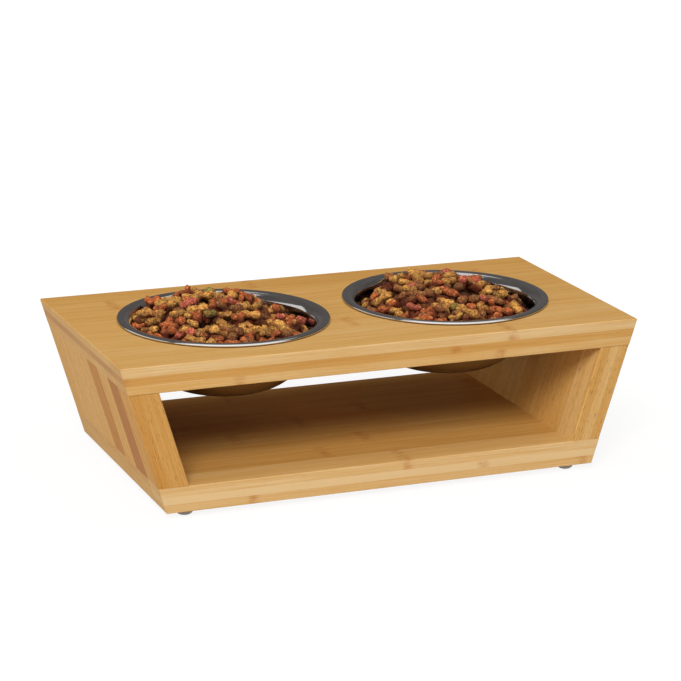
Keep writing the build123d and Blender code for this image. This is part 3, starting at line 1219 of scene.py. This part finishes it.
class FEEDER_OT_food(bpy.types.Operator):
    """Pours dry food into both bowls: loose pieces fall on a mound of packed food and settle"""

    bl_idname = "feeder.food"
    bl_label = "Food"

    def execute(self, context):
        scene = context.scene
        food, bowls = scene.feeder_food, scene.feeder_bowls
        chance = random.Random(8)

        fine, plain = {}, {}
        for index, (kind, made) in enumerate(PIECE_KINDS.items()):
            for variant in range(VARIANTS):
                key = (kind, variant)
                seed = index * VARIANTS + variant + 1
                fine[key] = piece_mesh(f"piece_{kind}_{variant}", made.lobes, food.lobe, 4, seed)
                large = food.lobe * SIM_SCALE
                plain[key] = piece_mesh(f"proxy_{kind}_{variant}", made.lobes, large, 2, seed)

        shares = [made.share for made in PIECE_KINDS.values()]
        solver = bpy.data.collections.new("pour")
        scene.collection.children.link(solver)
        poured, guides, beds = [], [], {}
        for side, heap in HEAPS.items():
            low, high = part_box(side + "_bowl")
            middle = Vector(((low.x + high.x) / 2, (low.y + high.y) / 2, high.z))
            section = inside_section(bowls, (high.x - low.x) / 2, 0.0, low.z - high.z)
            wall_z, wall_r = zip(*[(z, r) for r, z, _, _ in section[2:]])

            def wall_radius(z):
                return float(np.interp(z, wall_z, wall_r))

            reach = wall_radius(-HEAP_EDGE)
            under = food.layer * food.layers

            def packed(x, y):
                return heap_height(heap, food.heap, reach, x, y) - under

            # The guide that catches the pieces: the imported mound, the wall, and a fence over it
            edge = wall_radius(-BED_EDGE)
            radii = [edge * k / 12 for k in range(1, 13)]
            wall = [(wall_radius(z), z) for z in (-18 * MM, -10 * MM, -3 * MM)]
            wall.append((wall_radius(-1 * MM), 60 * MM))
            mesh = mound_mesh(side + "_guide", packed, radii, wall, 64, False)
            guide = bpy.data.objects.new(side + "_guide", mesh)
            guide.location = middle * SIM_SCALE
            guide.scale = (SIM_SCALE, SIM_SCALE, SIM_SCALE)
            solver.objects.link(guide)
            guides.append(guide)

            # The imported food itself, lumpy and closed, a little inside the sheet
            def lumpy(x, y):
                place = Vector((x, y, heap.peak_x)) / (9 * MM)
                return packed(x, y) - 1.5 * MM + noise.noise(place) * 3 * MM

            radii = [edge * k / 40 for k in range(1, 41)]
            depths = (32 * MM, 38 * MM, 44 * MM, 48 * MM)
            wall = [(wall_radius(-depth) - BED_GAP, -depth) for depth in depths]
            mesh = mound_mesh(side + "_packed_food", lumpy, radii, wall, 120, True)
            mesh.shade_smooth()
            bed = bpy.data.objects.new(side + "_packed_food", mesh)
            bed.location = middle
            scene.collection.objects.link(bed)
            beds[side] = (bed, reach, wall_z, wall_r)

            spacing = 2.55 * food.lobe
            rows = int(2 * reach / spacing) + 2
            grid = range(-rows, rows + 1)
            for layer, j, i in product(range(food.layers), grid, grid):
                # Rows are staggered, layers are shifted, and each piece strays up to 2 mm
                x = (i + 0.5 * (j % 2) + 0.33 * layer) * spacing
                y = (j * 0.87 + 0.4 * layer) * spacing
                x += chance.uniform(-2, 2) * MM
                y += chance.uniform(-2, 2) * MM
                # None starts on the wall, and one in 25 is left out, so that no pattern shows
                if math.hypot(x, y) > reach - 5 * MM or chance.random() < 0.04:
                    continue
                z = packed(x, y) + 8 * MM + layer * spacing * 1.05
                kind = chance.choices(list(PIECE_KINDS), shares)[0]
                key = (kind, chance.randrange(VARIANTS))
                piece = bpy.data.objects.new(f"pour_{len(poured):03d}", plain[key])
                piece.location = (middle + Vector((x, y, z))) * SIM_SCALE
                piece.rotation_euler = [chance.uniform(0, 2 * math.pi) for _ in range(3)]
                size = chance.uniform(0.82, 1.12)
                piece.scale = (size, size, size)
                solver.objects.link(piece)
                poured.append((side, key, piece))

        fall(scene, solver, guides, [piece for _, _, piece in poured], 70)

        # Gather each bowl's pieces into one mesh, in place
        graph = context.evaluated_depsgraph_get()
        kibble, packed_food = kibble_material(), packed_material()
        shapes = {key: mesh_arrays(mesh) for key, mesh in fine.items()}
        for side, heap in HEAPS.items():
            bed, reach, wall_z, wall_r = beds[side]
            parts, count = [], 0
            for owner, key, piece in poured:
                if owner != side:
                    continue
                place, turn, scale = piece.evaluated_get(graph).matrix_world.decompose()
                here = np.array(Matrix.LocRotScale(place / SIM_SCALE, turn, scale))
                verts, faces, bumps = shapes[key]
                verts = verts @ here[:3, :3].T + here[:3, 3]
                x, y, top = verts[verts[:, 2].argmax()] - np.array(bed.location)
                heap_line = heap_height(heap, food.heap, reach, x, y)
                if top > min(heap_line + food.perch, food.heap + food.perch / 2):
                    continue
                made = PIECE_KINDS[key[0]]
                recipe = np.full(len(verts), chance.uniform(made.first_recipe, made.last_recipe))
                shade = np.full(len(verts), chance.random())
                parts.append((verts, faces + count, recipe, shade, bumps))
                count += len(verts)
            points, faces, recipes, shades, bumps = (np.concatenate(rows) for rows in zip(*parts))
            # Pieces that press on the wall are dented there, so that none reaches into the sheet
            middle = np.array(bed.location)
            away = points[:, :2] - middle[:2]
            limit = np.interp(points[:, 2] - middle[2], wall_z, wall_r) - PIECE_GAP
            share = np.minimum(1.0, limit / np.maximum(np.hypot(away[:, 0], away[:, 1]), MM))
            points[:, :2] = middle[:2] + away * share[:, None]
            mesh = mesh_of_triangles(side + "_kibble", points, faces)
            # How deep each point lies between the pieces: the material paints shade in the gaps from
            # it
            depths = depth_in_heap(points)
            values = {"recipe": recipes, "shade": shades, "bump": bumps, "deep": depths}
            for name, numbers in values.items():
                mesh.attributes.new(name, "FLOAT", "POINT").data.foreach_set("value", numbers)
            heap_obj = bpy.data.objects.new(side + "_kibble", mesh)
            scene.collection.objects.link(heap_obj)
            dress(heap_obj, kibble)
            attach(heap_obj, side + "_bowl")
            dress(bed, packed_food)
            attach(bed, side + "_bowl")

        # Nothing of the solver stays
        for _, _, piece in poured:
            bpy.data.objects.remove(piece)
        for guide in guides:
            bpy.data.objects.remove(guide)
        bpy.ops.rigidbody.world_remove()
        bpy.data.collections.remove(solver)
        scene.frame_set(1)
        return {"FINISHED"}


# ---------------------------------------------------------------- studio

# Half the floor's side and how far round the stand the cloths hang, in metres, and how far apart
# the corners of their panels are, in degrees
FLOOR_HALF = 4.0
CLOTH_RADIUS = 3.0
CLOTH_STEP = 6


def seen_directly(node):
    """1 for rays that show a thing itself: from the camera, mirrored or through something clear."""
    path = node("ShaderNodeLightPath")
    mirrored = node(
        "ShaderNodeMath",
        {0: path.outputs["Is Camera Ray"], 1: path.outputs["Is Glossy Ray"]},
        operation="MAXIMUM",
    )
    return node(
        "ShaderNodeMath", {0: mirrored, 1: path.outputs["Is Transmission Ray"]}, operation="MAXIMUM"
    )


def softbox(name, bearing, elevation, distance, size, level, aim):
    """A square soft lamp, its bearing clockwise from the rear and its distance and size in metres.

    level is how bright it shows a white card that faces it, from 0 black to 1 white."""
    data = bpy.data.lights.new(name, "AREA")
    data.shape = "SQUARE"
    data.size = size
    # The card gets energy / (pi * distance^2) of light, and shows that over pi
    data.energy = level * math.pi * distance**2 * math.pi
    lamp = bpy.data.objects.new(name, data)
    b, e = math.radians(bearing), math.radians(elevation)
    way = Vector((math.sin(b) * math.cos(e), math.cos(b) * math.cos(e), math.sin(e)))
    lamp.location = aim + way * distance
    lamp.rotation_mode = "QUATERNION"
    lamp.rotation_quaternion = way.to_track_quat("Z", "Y")
    lamp.visible_glossy = False
    lamp.visible_camera = False
    bpy.context.scene.collection.objects.link(lamp)
    return lamp


def flag_mesh(name, panels, radius, centre):
    """Cloths hung round the table, as panels of a sphere.

    Each panel is (bearing, bearing, elevation, elevation): its edges, in degrees."""
    mesh = bpy.data.meshes.new(name)
    bm = bmesh.new()
    for bearing_1, bearing_2, elevation_1, elevation_2 in panels:
        steps = max(1, round((bearing_2 - bearing_1) / CLOTH_STEP))
        rows = max(1, round((elevation_2 - elevation_1) / CLOTH_STEP))
        grid = []
        for j in range(rows + 1):
            e = math.radians(elevation_1 + (elevation_2 - elevation_1) * j / rows)
            row = []
            for k in range(steps + 1):
                b = math.radians(bearing_1 + (bearing_2 - bearing_1) * k / steps)
                way = Vector((math.sin(b) * math.cos(e), math.cos(b) * math.cos(e), math.sin(e)))
                row.append(bm.verts.new(centre + way * radius))
            grid.append(row)
        for j in range(rows):
            for k in range(steps):
                bm.faces.new((grid[j][k], grid[j][k + 1], grid[j + 1][k + 1], grid[j + 1][k]))
    bm.to_mesh(mesh)
    bm.free()
    return bpy.data.objects.new(name, mesh)


class FEEDER_OT_studio(bpy.types.Operator):
    """Sets the floor, the soft lamps, the dark cloths that the steel mirrors, and the camera"""

    bl_idname = "feeder.studio"
    bl_label = "Studio"

    def execute(self, context):
        sizes = context.scene.feeder_studio
        scene = context.scene
        scene.view_settings.view_transform = "Standard"
        aim = Vector((0, 0, cad_high.z / 2))

        # World: a low even light, and plain white where the background itself is seen
        world = bpy.data.worlds.new("studio_world")
        world.use_nodes = True
        world.node_tree.nodes.clear()
        node = partial(add_node, world.node_tree)
        mix = node(
            "ShaderNodeMixShader",
            {
                0: seen_directly(node),
                1: node("ShaderNodeBackground", {0: (1.0, 0.74, 0.55, 1), 1: 0.12}),
                2: node("ShaderNodeBackground", {0: (1, 1, 1, 1), 1: 1.0}),
            },
        )
        node("ShaderNodeOutputWorld", {0: mix})
        scene.world = world

        # Floor: matt white paper. Rays that see it directly get most of its white as a steady glow,
        # so that only a breath of the stand's shadow is left on it
        mesh = bpy.data.meshes.new("studio_floor")
        half = FLOOR_HALF
        corners = [(-half, -half, 0), (half, -half, 0), (half, half, 0), (-half, half, 0)]
        mesh.from_pydata(corners, [], [(0, 1, 2, 3)])
        floor = bpy.data.objects.new("studio_floor", mesh)
        scene.collection.objects.link(floor)
        material, node = new_material("paper_matt_white")
        coords = node("ShaderNodeTexCoord")
        tooth = node(
            "ShaderNodeTexNoise",
            {"Vector": coords.outputs["Object"], "Scale": 400.0, "Detail": 2.0},
        )
        bump = node("ShaderNodeBump", {"Height": tooth, "Strength": 0.05, "Distance": 0.1 * MM})
        plain = node("ShaderNodeBsdfDiffuse", {"Color": sizes.floor, "Normal": bump})
        veil = node("ShaderNodeBsdfDiffuse", {"Color": (0.12, 0.12, 0.12, 1.0), "Normal": bump})
        away = node("ShaderNodeVectorMath", {0: coords.outputs["Object"]}, operation="LENGTH")
        strength = node("ShaderNodeMapRange", {"Value": away, 1: 0.25, 2: 0.7, 3: 0.90, 4: 1.0})
        glow = node("ShaderNodeEmission", {"Color": (1, 1, 1, 1), "Strength": strength})
        lit = node("ShaderNodeAddShader", {0: veil, 1: glow})
        surface = node("ShaderNodeMixShader", {0: seen_directly(node), 1: plain, 2: lit})
        node("ShaderNodeOutputMaterial", {"Surface": surface})
        dress(floor, material)

        # Bearing and elevation, distance, size and level
        softbox("key_softbox", 209.7, 39.0, 7.0, 2.6, 0.80, aim)
        softbox("top_softbox", 180.0, 86.0, 2.6, 1.8, 0.32, aim)
        softbox("front_fill", 236.0, 14.0, 4.0, 2.0, 0.13, aim)
        softbox("rear_fill", 300.0, 12.0, 2.4, 1.2, 0.08, aim)

        # What the steel mirrors: dark cloths behind and at the left, and the white silk in front.
        # Both are glowing cards that only reflections see, painted reflections; the silk stands in
        # for the faces of the lamps, which reflections don't see
        cloths = ((-35, 128, -1, 50), (-35, 2, 50, 68), (253, 325, 31, 68), (253, 261, -1, 31))
        flags = flag_mesh("studio_flags", cloths, CLOTH_RADIUS, aim)
        silk = flag_mesh("studio_silk", ((130, 252, -1, 88),), CLOTH_RADIUS, aim)
        material, node = new_material("cloth_dark_grey")
        weave = node("ShaderNodeTexNoise", {"Scale": 3.0, "Detail": 2.0})
        shade = set_ramp(
            node("ShaderNodeValToRGB", {0: weave}),
            [(0.3, (0.098, 0.090, 0.086, 1.0)), (0.7, (0.150, 0.142, 0.140, 1.0))],
        )
        glow = node("ShaderNodeEmission", {"Color": shade, "Strength": 1.0})
        node("ShaderNodeOutputMaterial", {"Surface": glow})
        dress(flags, material)
        material, node = new_material("silk_white_glowing")
        weave = node("ShaderNodeTexNoise", {"Scale": 2.0, "Detail": 2.0})
        bright = node("ShaderNodeMapRange", {"Value": weave, 1: 0.3, 2: 0.7, 3: 1.4, 4: 1.6})
        glow = node("ShaderNodeEmission", {"Color": (1, 1, 1, 1), "Strength": bright})
        node("ShaderNodeOutputMaterial", {"Surface": glow})
        dress(silk, material)
        for card in (flags, silk):
            card.visible_camera = False
            card.visible_diffuse = False
            card.visible_shadow = False
            card.visible_transmission = False
            scene.collection.objects.link(card)

        data = bpy.data.cameras.new("studio_camera")
        data.sensor_width = 36.0
        data.lens = sizes.lens
        data.clip_start = 0.05
        data.clip_end = 50.0
        camera = bpy.data.objects.new("studio_camera", data)
        camera.location = sizes.camera_place
        camera.rotation_mode = "QUATERNION"
        level = Euler((math.pi / 2 - sizes.camera_tilt, 0.0, -sizes.camera_heading)).to_quaternion()
        roll = Euler((0.0, 0.0, sizes.camera_roll)).to_quaternion()
        camera.rotation_quaternion = level @ roll
        scene.collection.objects.link(camera)
        scene.camera = camera
        return {"FINISHED"}


# ---------------------------------------------------------------- panel and registration

OPERATORS = (
    FEEDER_OT_boards,
    FEEDER_OT_fasteners,
    FEEDER_OT_bowls,
    FEEDER_OT_feet,
    FEEDER_OT_food,
    FEEDER_OT_studio,
)


class FEEDER_PT_stand(bpy.types.Panel):
    """Lists the pieces of the feeding stand"""

    bl_idname = "FEEDER_PT_stand"
    bl_label = "Feeding stand"
    bl_space_type = "VIEW_3D"
    bl_region_type = "UI"
    bl_category = "Feeding stand"

    def draw(self, context):
        for operator in OPERATORS:
            self.layout.operator(operator.bl_idname)


GROUPS = {
    "feeder_bamboo": FeederBamboo,
    "feeder_bowls": FeederBowls,
    "feeder_feet": FeederFeet,
    "feeder_food": FeederFood,
    "feeder_studio": FeederStudio,
}


def register():
    for name, group in GROUPS.items():
        bpy.utils.register_class(group)
        setattr(bpy.types.Scene, name, bpy.props.PointerProperty(type=group))
    for operator in OPERATORS:
        bpy.utils.register_class(operator)
    bpy.utils.register_class(FEEDER_PT_stand)


def unregister():
    bpy.utils.unregister_class(FEEDER_PT_stand)
    for operator in reversed(OPERATORS):
        bpy.utils.unregister_class(operator)
    for name, group in reversed(GROUPS.items()):
        delattr(bpy.types.Scene, name)
        bpy.utils.unregister_class(group)


def main():
    register()
    bpy.ops.feeder.boards()
    bpy.ops.feeder.bowls()
    bpy.ops.feeder.feet()
    bpy.ops.feeder.fasteners()
    bpy.ops.feeder.food()
    bpy.ops.feeder.studio()


if __name__ == "__main__":
    main()
